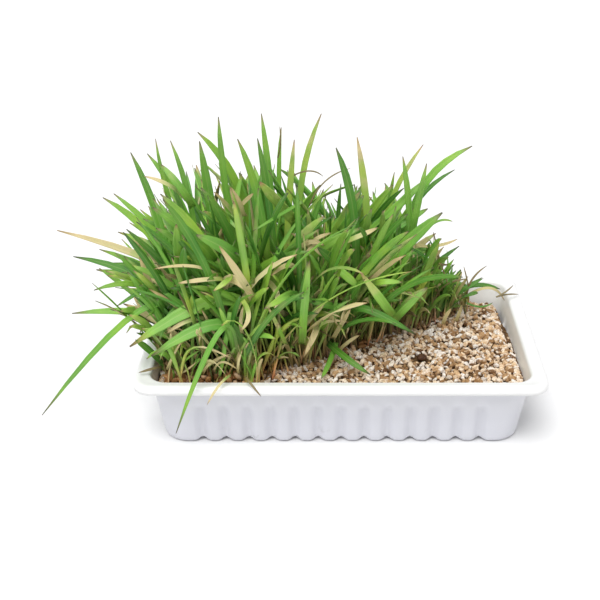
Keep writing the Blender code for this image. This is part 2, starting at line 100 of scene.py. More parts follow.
# Clumps of seedlings
SITE_SPACING = 19.4 * MM
SITE_JITTER = 1.5 * MM
SITE_REACH = (101 * MM, 53 * MM)
EDGE_START = (-50 * MM, -47 * MM)
EDGE_SLOPE = 0.735
CROWN_RADIUS = 7.4 * MM
CROWN_SINK = 5 * MM
CROWN_RISE = 4 * MM
CROWN_SIDES = 6
ROOTING = Vector((0, 0, 1 * MM))
BLADES_GREEN = 8
BLADES_STRAW = 4

# Blades
LEADING_STATIONS = (0.0, 0.25, 0.5, 0.76, 0.93)
LONG_STATIONS = (0.0, 0.33, 0.64, 0.9)
SHORT_STATIONS = (0.0, 0.4, 0.82)
TIP_TAPER = 0.18
FACING_FRONT = math.radians(-90)
KEEL = 1.0 * MM
BLADE_CLEAR = 0.45 * MM
TRIES = 60
TANGLE_TRIES = 45
FILLER_REACH = ((-150 * MM, -74 * MM), (92 * MM, 104 * MM))
EYE_DISTANCE = 597.6 * MM
EYE_HEIGHT = 371.9 * MM
EYE = Vector((0, -EYE_DISTANCE, EYE_HEIGHT))
KNEE_PULL = 0.93
CREST = 162 * MM
CREST_LEFT = (-175 * MM, -85 * MM, 75 * MM)
CREST_MIDDLE = (-50 * MM, -5 * MM, 14 * MM)
CREST_RIGHT = (30 * MM, 92 * MM, 68 * MM)
SPREAD_FLOOR = 64 * MM
LEAF_SHEET = 0.22 * MM
LEAF_CELLS = (4, 14)
THIN_CELLS = (3, 9)
FRONT_START = 0.42
UNDERGROWTH_PARTS = 3
UNDERGROWTH = 300
THIN_STEMS = 420

# Painted shade among the feet of the leaves
FOOT_DEPTH = (-10 * MM, 4 * MM)
FOOT_LEFT = (-128 * MM, -104 * MM)
FOOT_RIGHT = (0.0, 60 * MM)
FOOT_HEIGHT = (38 * MM, 88 * MM)
VEINS = 62.0

# Camera
PITCH_DOWN = 28.0
LENS = 62.01
SHIFT = (-0.0683, 0.0292)

# Studio
PAPER = (0.93, 0.93, 0.93)
WHITE = (1.0, 1.0, 1.0, 1.0)
SKY_POWER = 0.5
SUN_POWER = 2.5
SUN_WIDTH = 40
SUN_LEAN = (24, -10)

def read_rows(table):
    """A table's rows: numbers in millimetres, then the name of a shade."""
    rows = [line.split() for line in table.split("\n") if line]
    return [(*map(float, row[:-1]), row[-1]) for row in rows]


# Leaves that give the stand its outline: tip, knee and width, and shade.
LEADING = read_rows("""
-98 -88 23  -63 -71 117  3.2 fresh
-182 -70 24  -98 -57 130  3.6 fresh
-124 -70 72  -52 -48 118  8 light
-111 -74 68  -59 -56 99  7 fresh
-167 -30 73  -101 -30 81  4.5 light
-149 -40 94  -115 -32 105  3.5 fresh
-159 10 84  -108 -3 84  5.5 fresh
-170 0 98  -114 0 88  4.5 deep
-158 20 94  -111 -2 91  4 fresh
-178 0 116  -89 0 92  4.6 yellow
-147 30 102  -104 8 99  4.5 olive
-147 0 138  -108 0 114  4.6 light
-147 30 129  -116 19 107  4 light
-127 0 167  -108 0 119  4.6 fresh
-123 30 156  -98 17 132  4 fresh
-115 20 169  -112 20 116  3 light
-99 -20 181  -85 -20 139  3.4 light
-90 30 170  -58 30 140  5 light
-85 0 174  -79 0 123  5.8 fresh
-74 10 186  -74 10 133  4.2 light
-60 -20 182  -44 -20 143  4.6 fresh
-48 10 188  -43 10 138  4.2 light
-48 -25 184  -41 -25 145  4 deep
-38 40 170  -44 40 122  3 light
-28 0 175  -34 0 126  4 cream
-12 20 185  -34 20 135  3.8 pale
-3 0 170  14 0 128  5.2 deep
10 20 170  19 20 120  4.6 lime
0 35 134  -5 35 89  3.2 deep
38 10 161  46 10 120  4 light
52 30 162  25 30 123  3.2 pale
83 30 161  38 24 142  4.8 light
52 0 160  45 0 118  4.2 light
75 50 138  39 41 121  3.2 deep
63 0 128  29 0 98  8 fresh
81 50 83  52 45 64  3.6 deep
35 45 138  29 45 102  3.2 fresh
98 48 60  72 39 48  3.2 deep
84 20 52  43 10 61  4.4 light
110 42 54  90 39 64  3 deep
-71 -72 54  -67 -61 99  3.2 deep
-44 -72 98  -13 -50 108  5.5 light
47 -30 58  1 -30 89  4.6 deep
-23 -52 54  -6 -41 84  4 straw
-51 -60 100  -74 -48 124  5.2 straw
-20 -40 113  -23 -40 67  5.2 fresh
18 -52 42  -7 -45 56  4 deep
""")

# Leaves that show in front of the rest: start, middle, tip and width, and shade.
FEATURED = read_rows("""
-59 -43 113  -69 -61 133  -81 -65 141  7.2 fresh
-75 -37 111  -89 -57 141  -105 -61 156  6 fresh
-52 -49 91  -59 -67 119  -68 -69 136  4.2 straw
-72 -51 109  -86 -65 122  -106 -67 121  1.8 straw
-69 -51 107  -81 -65 113  -93 -67 112  2.6 yellow
-65 -51 109  -68 -67 111  -73 -69 108  3 pale
-44 -49 105  -37 -59 99  -40 -63 88  3.2 yellow
-59 -55 96  -54 -65 89  -59 -65 80  2.8 yellow
-27 -34 101  -34 -54 116  -40 -61 114  3 straw
-23 -22 144  -36 -44 144  -50 -57 140  1.8 fresh
-28 -10 126  -38 -33 149  -46 -45 165  6.5 pale
-58 -27 136  -60 -39 150  -63 -43 161  5 straw
-59 -31 145  -54 -41 153  -50 -45 158  2.6 straw
-66 -55 87  -69 -61 68  -74 -61 44  2.4 light
9 -6 93  22 -15 80  33 -11 63  5.6 olive
35 1 55  45 -1 67  56 2 75  5.6 olive
19 -3 80  27 -9 83  36 -3 81  3.2 yellow
4 -12 68  -10 -35 82  -22 -47 92  4.8 fresh
-3 -22 48  -7 -39 44  -12 -55 41  3.2 fresh
1 -5 110  12 -8 116  23 0 118  3.2 yellow
-16 -22 115  -21 -34 124  -29 -42 132  2.4 straw
-21 -26 116  -14 -28 123  -6 -25 125  2.2 straw
-19 -24 118  -14 -31 116  -10 -29 111  2.4 straw
-13 -20 115  -19 -34 118  -23 -40 114  2.2 straw
-26 -32 117  -19 -32 122  -10 -28 118  2.8 straw
5 -3 90  -5 -24 107  -14 -35 120  6 deep
-6 -16 100  3 -26 97  11 -22 87  5 light
16 17 105  35 18 124  53 24 140  5.2 light
23 19 100  39 19 112  56 24 121  5 fresh
-1 9 111  7 5 125  14 6 137  4.6 fresh
33 16 87  46 13 95  60 20 95  3.4 fresh
67 36 72  64 32 88  61 30 102  1.2 brown
87 41 47  91 39 65  100 44 71  1.3 brown
79 37 51  88 37 58  98 43 62  1.3 deep
87 40 50  100 42 55  115 50 41  1.8 straw
87 39 45  96 39 42  106 45 42  1.3 deep
106 32 53  114 36 56  118 38 59  1 brown
106 32 53  115 38 52  123 42 50  1 brown
-20 11 128  -8 17 144  6 22 149  0.9 brown
-29 4 151  -18 6 153  -11 10 148  0.9 brown
-24 -38 55  -21 -58 97  -18 -60 123  4.8 light
36 -8 55  25 -28 81  12 -26 99  5.6 faded
34 -8 55  42 -27 77  53 -24 88  4.4 faded
19 -16 86  29 -28 94  38 -25 92  3.4 faded
-38 -4 165  -36 -7 175  -36 -9 186  0.8 brown
-92 -22 145  -101 -28 157  -115 -25 161  2.4 yellow
-88 -24 141  -95 -30 158  -105 -24 168  4.2 faded
48 16 99  60 12 100  75 14 104  2 straw
70 14 73  64 12 91  59 13 109  0.8 brown
86 28 63  84 27 71  82 28 78  0.8 brown
57 10 115  63 9 119  71 12 117  1.4 olive
45 8 100  54 6 95  60 8 85  1.6 deep
73 16 71  72 14 78  73 15 83  1.8 deep
-66 -66 50  -72 -80 51  -79 -83 40  1.5 yellow
-57 -69 51  -52 -80 51  -47 -82 45  1.3 brown
-109 -52 48  -114 -60 51  -122 -63 50  1.6 brown
-110 -37 78  -115 -51 80  -121 -53 72  2.6 brown
-115 -37 96  -123 -51 96  -133 -53 90  2.2 deep
-85 -57 45  -76 -60 56  -65 -59 59  1.7 yellow
-61 -57 46  -62 -60 56  -61 -59 63  1.9 straw
-59 -55 72  -59 -61 85  -57 -63 95  2 straw
-106 -58 49  -100 -62 62  -94 -60 72  1.3 straw
-84 -58 46  -75 -63 59  -65 -61 62  1.6 straw
-77 -60 49  -71 -64 58  -62 -62 51  1.3 straw
-62 -60 47  -61 -63 59  -59 -60 64  1.4 straw
-99 -58 47  -93 -61 58  -84 -60 64  1.2 olive
-104 -56 43  -95 -60 49  -87 -60 56  1.1 straw
-5 -24 52  1 -25 64  6 -24 73  2.8 straw
-2 -22 41  5 -23 49  12 -18 51  2.2 straw
-93 -47 91  -102 -59 85  -108 -61 71  3.2 olive
-81 -53 82  -91 -61 84  -103 -63 77  2.6 yellow
-34 -45 59  -38 -55 78  -43 -59 93  2.4 olive
-13 -26 59  -6 -28 72  -2 -28 84  2.8 light
79 30 35  81 29 42  83 31 48  2.4 straw
70 25 34  71 23 42  75 25 48  2.6 straw
""")

# Shades as the leaf finish's two values: tint from dark to pale, and how dry.
SHADES = {
    "deep": (0.12, 0.0),
    "fresh": (0.47, 0.0),
    "light": (0.63, 0.0),
    "pale": (0.92, 0.0),
    "cream": (0.92, 0.0),
    "olive": (0.5, 0.42),
    "yellow": (0.85, 0.55),
    "lime": (0.97, 0.12),
    "faded": (0.68, 0.16),
    "straw": (0.62, 1.0),
    "brown": (0.05, 1.0),
}
# Leading leaves in these shades grow from the dry clumps.
DRY_SHADES = ("yellow", "cream", "lime", "straw")


def smooth_step(low, high, value):
    """0 up to low, 1 from high on, and a soft rise between."""
    share = min(1.0, max(0.0, (value - low) / (high - low)))
    return share * share * (3 - 2 * share)


def smooth_steps(low, high, values):
    """The same for a whole array."""
    share = np.clip((values - low) / (high - low), 0.0, 1.0)
    return share * share * (3 - 2 * share)


def drawn_share(rng, middle, spread):
    return min(1.0, max(0.0, rng.gauss(middle, spread)))


def level_way(angle):
    return Vector((math.cos(angle), math.sin(angle), 0))


# Materials

class Finish:
    """A material under one Principled shader, with short calls for its nodes."""

    def __init__(self, name, roughness, specular=0.5):
        self.material = bpy.data.materials.new(name)
        self.material.use_nodes = True
        self.tree = self.material.node_tree
        self.shader = self.tree.nodes["Principled BSDF"]
        self.shader.inputs["Roughness"].default_value = roughness
        self.shader.inputs["Specular IOR Level"].default_value = specular

    def node(self, kind, **values):
        made = self.tree.nodes.new("ShaderNode" + kind)
        for name, value in values.items():
            setattr(made, name, value)
        return made

    def link(self, source, target):
        self.tree.links.new(source, target)

    def feed(self, node, name, value):
        socket = node.inputs[name]
        if isinstance(value, bpy.types.NodeSocket):
            self.link(value, socket)
        elif isinstance(value, tuple) and len(value) == 3 and socket.type == "RGBA":
            socket.default_value = (*value, 1.0)
        else:
            socket.default_value = value

    def place(self):
        return self.node("TexCoord").outputs["Object"]

    def axes(self, vector):
        made = self.node("SeparateXYZ")
        self.link(vector, made.inputs[0])
        return made.outputs

    def noise(self, scale, detail=2.0, rough=0.5):
        made = self.node("TexNoise")
        self.link(self.place(), made.inputs["Vector"])
        self.feed(made, "Scale", scale)
        self.feed(made, "Detail", detail)
        self.feed(made, "Roughness", rough)
        return made.outputs["Fac"]

    def ramp(self, value, stops):
        made = self.node("ValToRGB")
        self.link(value, made.inputs["Fac"])
        points = made.color_ramp.elements
        while len(points) < len(stops):
            points.new(0.5)
        for point, (place, *colour) in zip(points, stops):
            point.position = place
            point.color = (*colour, 1.0)
        return made.outputs["Color"]

    def mix(self, share, first, second, blend="MIX"):
        made = self.node("Mix", data_type="RGBA", blend_type=blend)
        for number, value in ((0, share), (6, first), (7, second)):
            self.feed(made, number, value)
        return made.outputs[2]

    def math(self, operation, first, second=0.0):
        made = self.node("Math", operation=operation)
        self.feed(made, 0, first)
        self.feed(made, 1, second)
        return made.outputs[0]

    def span(self, value, low, high, to_low=0.0, to_high=1.0):
        made = self.node("MapRange", interpolation_type="SMOOTHSTEP")
        self.link(value, made.inputs["Value"])
        for name, number in (("From Min", low), ("From Max", high), ("To Min", to_low), ("To Max", to_high)):
            made.inputs[name].default_value = number
        return made.outputs["Result"]

    def bump(self, height, strength, distance):
        made = self.node("Bump")
        self.link(height, made.inputs["Height"])
        self.feed(made, "Strength", strength)
        self.feed(made, "Distance", distance)
        self.link(made.outputs["Normal"], self.shader.inputs["Normal"])

    def times(self, first, second):
        return self.math("MULTIPLY", first, second)

    def multiplied(self, body, factor, share=1.0):
        return self.mix(share, body, factor, "MULTIPLY")

    def colour(self, value):
        self.feed(self.shader, "Base Color", value)

    def attribute(self, name):
        return self.node("Attribute", attribute_name=name).outputs["Fac"]


def green_leaf(coat, v, tint):
    """Pale at the sheath, browned at the tip, blue green to yellow green, and unevenly so."""
    fresh = coat.ramp(v, (
        (0.0, 0.62, 0.52, 0.24), (0.12, 0.50, 0.56, 0.20), (0.32, 0.22, 0.46, 0.07),
        (0.65, 0.17, 0.46, 0.048), (0.94, 0.20, 0.46, 0.06), (0.98, 0.20, 0.22, 0.07),
        (1.0, 0.07, 0.045, 0.03)))
    warm = coat.ramp(tint, (
        (0.0, 0.38, 0.52, 0.55), (0.35, 0.80, 0.88, 0.85), (0.65, 1.58, 1.30, 1.55),
        (1.0, 2.7, 1.5, 2.4)))
    cast = coat.ramp(coat.noise(34.0, 2.0), (
        (0.34, 0.74, 0.82, 0.92), (0.5, 1.0, 1.0, 1.0), (0.66, 1.32, 1.10, 0.92)))
    return coat.multiplied(coat.multiplied(fresh, warm), cast)


def straw_leaf(coat, v, tint):
    straw = coat.ramp(v, (
        (0.0, 0.46, 0.33, 0.15), (0.3, 0.62, 0.50, 0.21), (0.7, 0.80, 0.68, 0.34),
        (0.95, 0.74, 0.57, 0.29), (1.0, 0.34, 0.19, 0.08)))
    age = coat.ramp(tint, (
        (0.0, 0.24, 0.19, 0.2), (0.25, 0.8, 0.75, 0.7), (0.6, 1.0, 1.0, 1.0), (1.0, 1.15, 1.2, 1.3)))
    return coat.multiplied(straw, age)


def dried_share(coat, v, tint):
    """How much of a spot is straw: the leaf's dry value, blotched, and more at a pale leaf's end."""
    blotch = coat.times(coat.span(coat.noise(55.0, 3.0), 0.35, 0.7, -1.0, 1.0), 0.22)
    wilt = coat.times(coat.span(v, 0.55, 1.0), coat.span(tint, 0.55, 0.95, 0.0, 0.45))
    edge = coat.math("ADD", coat.attribute("dry"), blotch)
    return coat.span(coat.math("ADD", edge, wilt), 0.25, 0.75)


def painted_foot_shade(coat):
    """How deep a spot lies among the stems, behind the front edge of the grass: where painted shade darkens
    the leaves.
    """
    x, y, z = coat.axes(coat.place())
    front = coat.times(coat.math("SUBTRACT", x, EDGE_START[0]), EDGE_SLOPE)
    front = coat.math("MAXIMUM", coat.math("ADD", front, EDGE_START[1]), -SITE_REACH[1])
    within = coat.span(coat.math("SUBTRACT", y, front), *FOOT_DEPTH)
    inside = coat.times(coat.span(x, *FOOT_LEFT), within)
    inside = coat.times(inside, coat.span(x, *FOOT_RIGHT, 1.0, 0.5))
    return coat.times(inside, coat.span(z, *FOOT_HEIGHT, 1.0, 0.0))


def leaf_finish():
    """Green blades on pale sheaths, yellowing with the dry value, with fine veins and painted shade at their
    feet.
    """
    coat = Finish("grass_leaf", roughness=0.42, specular=0.45)
    u, v, _ = coat.axes(coat.node("UVMap", uv_map="leaf_map").outputs["UV"])
    tint = coat.attribute("tint")
    share = dried_share(coat, v, tint)
    body = coat.mix(share, green_leaf(coat, v, tint), straw_leaf(coat, v, tint))
    vein = coat.math("SINE", coat.times(u, VEINS))
    rib = coat.span(coat.math("ABSOLUTE", coat.math("SUBTRACT", u, 0.5)), 0.0, 0.09, 1.0, 0.0)
    body = coat.mix(coat.times(coat.span(vein, -1.0, 1.0), 0.22), body, (0.05, 0.14, 0.015))
    body = coat.mix(coat.times(rib, 0.30), body, (0.42, 0.55, 0.16))
    # Painted shade: leaves low among the stems, behind the front edge of the grass, are darkened toward
    # brown.
    coat.colour(coat.multiplied(body, (0.36, 0.31, 0.22), painted_foot_shade(coat)))
    coat.bump(coat.math("ADD", vein, coat.times(rib, 1.5)), 0.35, 0.12 * MM)
    return coat.material


def chip_finish():
    """Expanded mineral flakes: cream, pinkish white, gold and brown, with painted shade in the cracks."""
    coat = Finish("granule_chip", roughness=0.8, specular=0.3)
    tint = coat.attribute("tint")
    body = coat.ramp(tint, (
        (0.0, 0.13, 0.062, 0.025), (0.13, 0.38, 0.22, 0.10), (0.3, 0.72, 0.48, 0.26),
        (0.5, 0.92, 0.71, 0.48), (0.75, 0.97, 0.83, 0.66), (1.0, 0.98, 0.93, 0.86)))
    grain = coat.noise(700.0, 3.0, 0.7)
    # Painted shade: darker brown in the hollows of the grain that the bump follows.
    body = coat.mix(coat.span(grain, 0.36, 0.6, 0.5, 0.0), body, (0.26, 0.12, 0.045))
    body = coat.mix(coat.span(coat.noise(420.0, 2.0), 0.55, 0.75, 0.0, 0.5), body, (0.94, 0.82, 0.70))
    coat.colour(body)
    coat.bump(grain, 0.6, 0.3 * MM)
    return coat.material


def mottled_shaded_finish(coat, grain, stops, strength, height):
    """One colour, mottled by its own grain, with painted shade in the hollows of that grain."""
    coat.colour(coat.ramp(grain, stops))
    coat.bump(grain, strength, height)
    return coat.material


def granule_shade_finish():
    # Painted shade: near black to dark brown, seen in the gaps between the loose granules.
    coat = Finish("granule_shade", roughness=0.95, specular=0.2)
    stops = ((0.3, 0.035, 0.018, 0.008), (0.52, 0.13, 0.07, 0.03), (0.7, 0.34, 0.22, 0.11))
    return mottled_shaded_finish(coat, coat.noise(420.0, 4.0, 0.7), stops, 0.9, 1.2 * MM)


def sheet_finish(name, most):
    """Smooth plastic with a faint orange peel, and a cloud that its colours mix by."""
    coat = Finish(name, roughness=0.36, specular=0.45)
    coat.bump(coat.noise(900.0, 2.0), 0.06, 0.2 * MM)
    return coat, coat.span(coat.noise(18.0, 3.0), 0.3, 0.75, 0.0, most)


def upper_finish():
    """The upper side of the sheet: rim, skirt and inner walls, clean white."""
    coat, cloud = sheet_finish("white_sheet_upper", 1.0)
    coat.colour(coat.mix(cloud, (0.92, 0.92, 0.915), (0.95, 0.95, 0.95)))
    return coat.material


def outer_shaded_finish():
    """The outer side of the sheet: painted shade makes it cooler and greyer than the upper side and darker
    toward the foot, with white at the top; a little soil rubbed on near the foot.
    """
    coat, cloud = sheet_finish("white_sheet_outer_shaded", 0.4)
    # Painted shade: the same white sheet as the upper side, made grey on its outer wall.
    body = coat.mix(cloud, (0.695, 0.70, 0.745), (0.74, 0.74, 0.775))
    height = coat.axes(coat.place())[2]
    # Painted shade, darker toward the foot; above the wall the white of the upper side comes back.
    body = coat.mix(coat.span(height, 18 * MM, 32 * MM, 0.6, 0.0), body, (0.63, 0.635, 0.69))
    body = coat.mix(coat.span(height, 40.5 * MM, 43.5 * MM), body, (0.92, 0.92, 0.925))
    low = coat.span(height, 0.0, 16 * MM, 1.0, 0.0)
    speck = coat.times(coat.span(coat.noise(130.0, 3.0, 0.6), 0.64, 0.72), 0.5)
    body = coat.mix(coat.times(low, speck), body, (0.42, 0.42, 0.44))
    coat.colour(body)
    return coat.material


def kernel_finish():
    """Brown wheat grain, mottled paler by a fine grain."""
    coat = Finish("wheat_kernel", roughness=0.55, specular=0.4)
    body = coat.ramp(coat.attribute("tint"), (
        (0.0, 0.05, 0.02, 0.008), (0.4, 0.22, 0.095, 0.03), (0.75, 0.46, 0.23, 0.085),
        (1.0, 0.70, 0.50, 0.32)))
    grain = coat.noise(300.0, 3.0)
    coat.colour(coat.mix(coat.span(grain, 0.4, 0.7, 0.0, 0.35), body, (0.50, 0.27, 0.10)))
    coat.bump(grain, 0.4, 0.3 * MM)
    return coat.material


def husk_finish():
    coat = Finish("dark_husk", roughness=0.7, specular=0.3)
    stops = ((0.3, 0.025, 0.010, 0.005), (0.7, 0.15, 0.065, 0.028))
    return mottled_shaded_finish(coat, coat.noise(500.0, 3.0, 0.6), stops, 0.8, 0.5 * MM)


# Meshes

def shape_mesh(name, bm, values=()):
    """A mesh of the finished shape, with a number of each name at every point."""
    mesh = bpy.data.meshes.new(name)
    bm.to_mesh(mesh)
    bm.free()
    for value in values:
        mesh.attributes.new(value, "FLOAT", "POINT")
    return mesh


def add_copy(bm, copy, values):
    """Gather a copy of a shape in a larger mesh, with its own numbers."""
    for name, value in values.items():
        copy.attributes[name].data.foreach_set("value", [value] * len(copy.vertices))
    bm.from_mesh(copy)
    bpy.data.meshes.remove(copy)


def add_object(name, data):
    made = bpy.data.objects.new(name, data)
    bpy.context.scene.collection.objects.link(made)
    return made


def mesh_piece(name, bm, finish, smooth=True):
    mesh = shape_mesh(name, bm)
    mesh.materials.append(finish)
    if smooth:
        mesh.shade_smooth()
    piece = add_object(name, mesh)
    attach(piece, "root")
    return piece


def pull_out(bm, rim):
    """Extrude a rim, and give its new corners and edges."""
    made = bmesh.ops.extrude_edge_only(bm, edges=rim)["geom"]
    return ([item for item in made if isinstance(item, bmesh.types.BMVert)],
            [item for item in made if isinstance(item, bmesh.types.BMEdge)])


# Tray

def wall_half(z):
    """Half length, half depth and corner radius of the wall's outer face at height z."""
    lean = (TRAY_HEIGHT - z) * WALL_DRAFT
    corner = RIM_CORNER + (FOOT_CORNER - RIM_CORNER) * (1 - z / TRAY_HEIGHT)
    return (RIM_LENGTH / 2 - RIM_TOP - lean, RIM_DEPTH / 2 - RIM_TOP - lean, corner)


def shrunk(half, amount):
    return (half[0] - amount, half[1] - amount, max(half[2] - amount, 2 * MM))


def flute_share(place, count):
    """How deep a flute is at a place along its side: wide round ribs, narrow grooves."""
    cell = place / FLUTE_PITCH + count / 2
    if not 0 < cell < count:
        return 0.0
    return (0.5 - 0.5 * math.cos(2 * math.pi * cell)) ** FLUTE_SHARPNESS


def tray_outline(half, depth):
    """Points once round the tray, each with its share of the flute's depth."""
    half_x, half_y, corner = half
    outline = []
    for side in range(4):
        angle = side * math.pi / 2
        out = Vector((round(math.cos(angle)), round(math.sin(angle)), 0))
        along = Vector((-out.y, out.x, 0))
        reach, span = (half_x, half_y) if side % 2 == 0 else (half_y, half_x)
        count = FLUTES_SHORT if side % 2 == 0 else FLUTES_LONG
        steps = count * FLUTE_POINTS
        for step in range(steps + 1):
            place = (step / steps - 0.5) * count * FLUTE_PITCH
            share = flute_share(place, count)
            outline.append((out * (reach - depth * share) + along * place, share))
        centre = out * (reach - corner) + along * (span - corner)
        for step in range(CORNER_POINTS + 1):
            turn = angle + step / CORNER_POINTS * math.pi / 2
            outline.append((centre + level_way(turn) * corner, 0.0))
    return outline


def rim_levels():
    """The lower skin from the skirt over the rim: half size, height, flute depth and flute lift."""
    skirt = (RIM_LENGTH / 2 - SHEET, RIM_DEPTH / 2 - SHEET, RIM_CORNER - SHEET)
    yield skirt, TRAY_HEIGHT - SKIRT_DROP
    for step in range(5):
        turn = step / 4 * math.pi / 2
        inset = RIM_ROUND * (1 - math.cos(turn))
        yield shrunk(skirt, inset), SHEET_TOP - RIM_ROUND * (1 - math.sin(turn))
    yield shrunk(skirt, 3.4 * MM), SHEET_TOP - 0.05 * MM
    yield shrunk(skirt, 4.4 * MM), SHEET_TOP - 0.5 * MM
    inner = wall_half(SHEET_TOP)
    for step in range(5):
        turn = step / 4 * math.pi / 2
        z = SHEET_TOP - 0.6 * MM - LEDGE_ROUND * (1 - math.cos(turn))
        yield shrunk(inner, -LEDGE_ROUND * (1 - math.sin(turn))), z


def wall_levels():
    """The lower skin from the plain band down the fluted wall to its foot."""
    for share in (0.25, 0.6, 1.0):
        z = SHEET_TOP - 2.1 * MM + (FLUTE_TOP - SHEET_TOP + 2.1 * MM) * share
        yield wall_half(z), z
    for step in range(1, 7):
        z = FLUTE_TOP + (FLUTE_FULL - FLUTE_TOP) * step / 6
        yield wall_half(z), z, FLUTE_DEPTH * math.sqrt(smooth_step(0, 6, step))
    for z in (18 * MM, 12 * MM, 8 * MM, FOOT_ROUND):
        yield wall_half(z), z, FLUTE_DEPTH


def foot_levels():
    """The lower skin round the foot and in to the floor, where the flutes run out."""
    foot = wall_half(FOOT_ROUND)
    for step in range(1, 6):
        turn = step / 5 * math.pi / 2
        inset = FOOT_INSET * (1 - math.cos(turn))
        yield (shrunk(foot, inset), FOOT_ROUND - FOOT_ROUND * math.sin(turn),
               FLUTE_DEPTH * (1 - 0.3 * step / 5), FLUTE_LIFT * step / 5)
    for step in range(1, 5):
        share = step / 4
        inset = FOOT_INSET + (FLUTE_RUN - 3.4 * MM) * share
        yield (shrunk(foot, inset), 0.0, FLUTE_DEPTH * 0.7 * (1 - share),
               FLUTE_LIFT * (1 - smooth_step(0, 1, share)))


def set_level(verts, station, half, z, depth=0.0, lift=0.0):
    outline = tray_outline(half, depth)
    for vert in verts:
        spot, share = outline[vert[station]]
        vert.co = (spot.x, spot.y, z + lift * share)


def make_tray(finish, upper):
    levels = [*rim_levels(), *wall_levels(), *foot_levels()]
    bm = bmesh.new()
    station = bm.verts.layers.int.new("station")
    ring = bmesh.ops.create_circle(bm, segments=len(tray_outline(levels[0][0], 0.0)), radius=1)["verts"]
    for number, vert in enumerate(ring):
        vert[station] = number
    set_level(ring, station, *levels[0])
    rim = list(bm.edges)
    for level in levels[1:]:
        corners, rim = pull_out(bm, rim)
        set_level(corners, station, *level)
    floor = bmesh.ops.contextual_create(bm, geom=rim)["faces"]
    bmesh.ops.recalc_face_normals(bm, faces=bm.faces)
    if floor[0].normal.z > 0:
        bmesh.ops.reverse_faces(bm, faces=bm.faces)
    tray = mesh_piece("fluted_tray", bm, finish)
    wall = tray.modifiers.new("sheet", "SOLIDIFY")
    wall.thickness = SHEET
    wall.offset = -1
    wall.use_even_offset = True
    wall.material_offset = 1
    tray.data.materials.append(upper)
    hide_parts("tray")


# Granules

def bed_height(y):
    return BED_LEVEL - BED_FALL * y


def into_corner(x, y, half):
    """Pull a point of the grid's square corner onto the round corner of the tray."""
    half_x, half_y, corner = half
    over_x = abs(x) - (half_x - corner)
    over_y = abs(y) - (half_y - corner)
    if over_x <= 0 or over_y <= 0:
        return x, y
    pull = min(1.0, corner / math.hypot(over_x, over_y))
    return (math.copysign(half_x - corner + over_x * pull, x),
            math.copysign(half_y - corner + over_y * pull, y))


def inside_wall(x, y, level, reach):
    """The nearest place where something of this reach is clear of the wall and of its flutes."""
    groove = FLUTE_DEPTH if level - reach < FLUTE_TOP + 1 * MM else 0.0
    half = shrunk(wall_half(level), SHEET + reach + groove)
    x = max(-half[0], min(half[0], x))
    y = max(-half[1], min(half[1], y))
    return into_corner(x, y, half)


def make_bed(finish):
    """Painted shade under the loose top granules: one dark block with a rough top, seen in the gaps between
    them.
    """
    rng = random.Random(5)
    bm = bmesh.new()
    bmesh.ops.create_grid(bm, x_segments=BED_CELLS[0], y_segments=BED_CELLS[1], size=1)
    for vert in bm.verts:
        level = bed_height(vert.co.y * RIM_DEPTH / 2)
        tuck = FLUTE_TUCK * (1 - smooth_step(31.8 * MM, 33.5 * MM, level))
        half = shrunk(wall_half(level), SHEET + CLEAR + tuck)
        x, y = into_corner(vert.co.x * half[0], vert.co.y * half[1], half)
        vert.co = (x, y, level - 1.0 * MM + rng.uniform(-0.9, 0.5) * MM)
    corners, rim = pull_out(bm, [line for line in bm.edges if line.is_boundary])
    half = shrunk(wall_half(FLUTE_FULL), FLUTE_DEPTH + SHEET + CLEAR)
    top = shrunk(wall_half(BED_LEVEL), SHEET + CLEAR)
    for vert in corners:
        vert.co = (vert.co.x * half[0] / top[0], vert.co.y * half[1] / top[1], BED_WAIST)
    corners, rim = pull_out(bm, rim)
    for vert in corners:
        vert.co = (vert.co.x * 0.96, vert.co.y * 0.94, BED_FOOT)
    bmesh.ops.contextual_create(bm, geom=rim)
    bmesh.ops.recalc_face_normals(bm, faces=bm.faces)
    bed = mesh_piece("granule_bed_core", bm, finish, smooth=False)
    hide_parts("granule_bed")


def chip_shapes():
    """Angular flakes: a ball of twenty sides, pushed about and flattened."""
    rng = random.Random(21)
    shapes = []
    for number in range(CHIP_SHAPES):
        bm = bmesh.new()
        bmesh.ops.create_icosphere(bm, subdivisions=1, radius=1)
        stretch = Vector((rng.uniform(0.9, 1.5), rng.uniform(0.7, 1.0), rng.uniform(0.45, 0.75)))
        for vert in bm.verts:
            vert.co *= rng.uniform(0.6, 1.15)
            vert.co *= stretch
        shapes.append(shape_mesh(f"chip_{number}", bm, ("tint",)))
    return shapes


def chip_spots(rng):
    """Places in loose rows all over the bed, then more on top of them, each with its heap."""
    spots = []
    y = -RIM_DEPTH / 2
    while y < RIM_DEPTH / 2:
        x = -RIM_LENGTH / 2
        while x < RIM_LENGTH / 2:
            spots.append((x + rng.uniform(-1, 1) * MM, y + rng.uniform(-1, 1) * MM, 0.0))
            x += CHIP_SPACING
        y += CHIP_SPACING
    for _ in range(HEAPED_CHIPS):
        spots.append((rng.uniform(-110, 113) * MM, rng.uniform(-66, 66) * MM, 1.1 * MM))
    return spots


def chip_turn(rng):
    turn = Matrix.Rotation(rng.uniform(0, 6.28), 4, "Z") @ Matrix.Rotation(rng.gauss(0, 0.7), 4, "X")
    return turn @ Matrix.Rotation(rng.gauss(0, 0.7), 4, "Y")


def chip_tint(rng, grassy):
    """Mostly pale, one in four brown, and darker among the roots."""
    tint = drawn_share(rng, 0.66, 0.33)
    if rng.random() < 0.25:
        tint *= 0.25
    return tint * 0.5 if grassy else tint


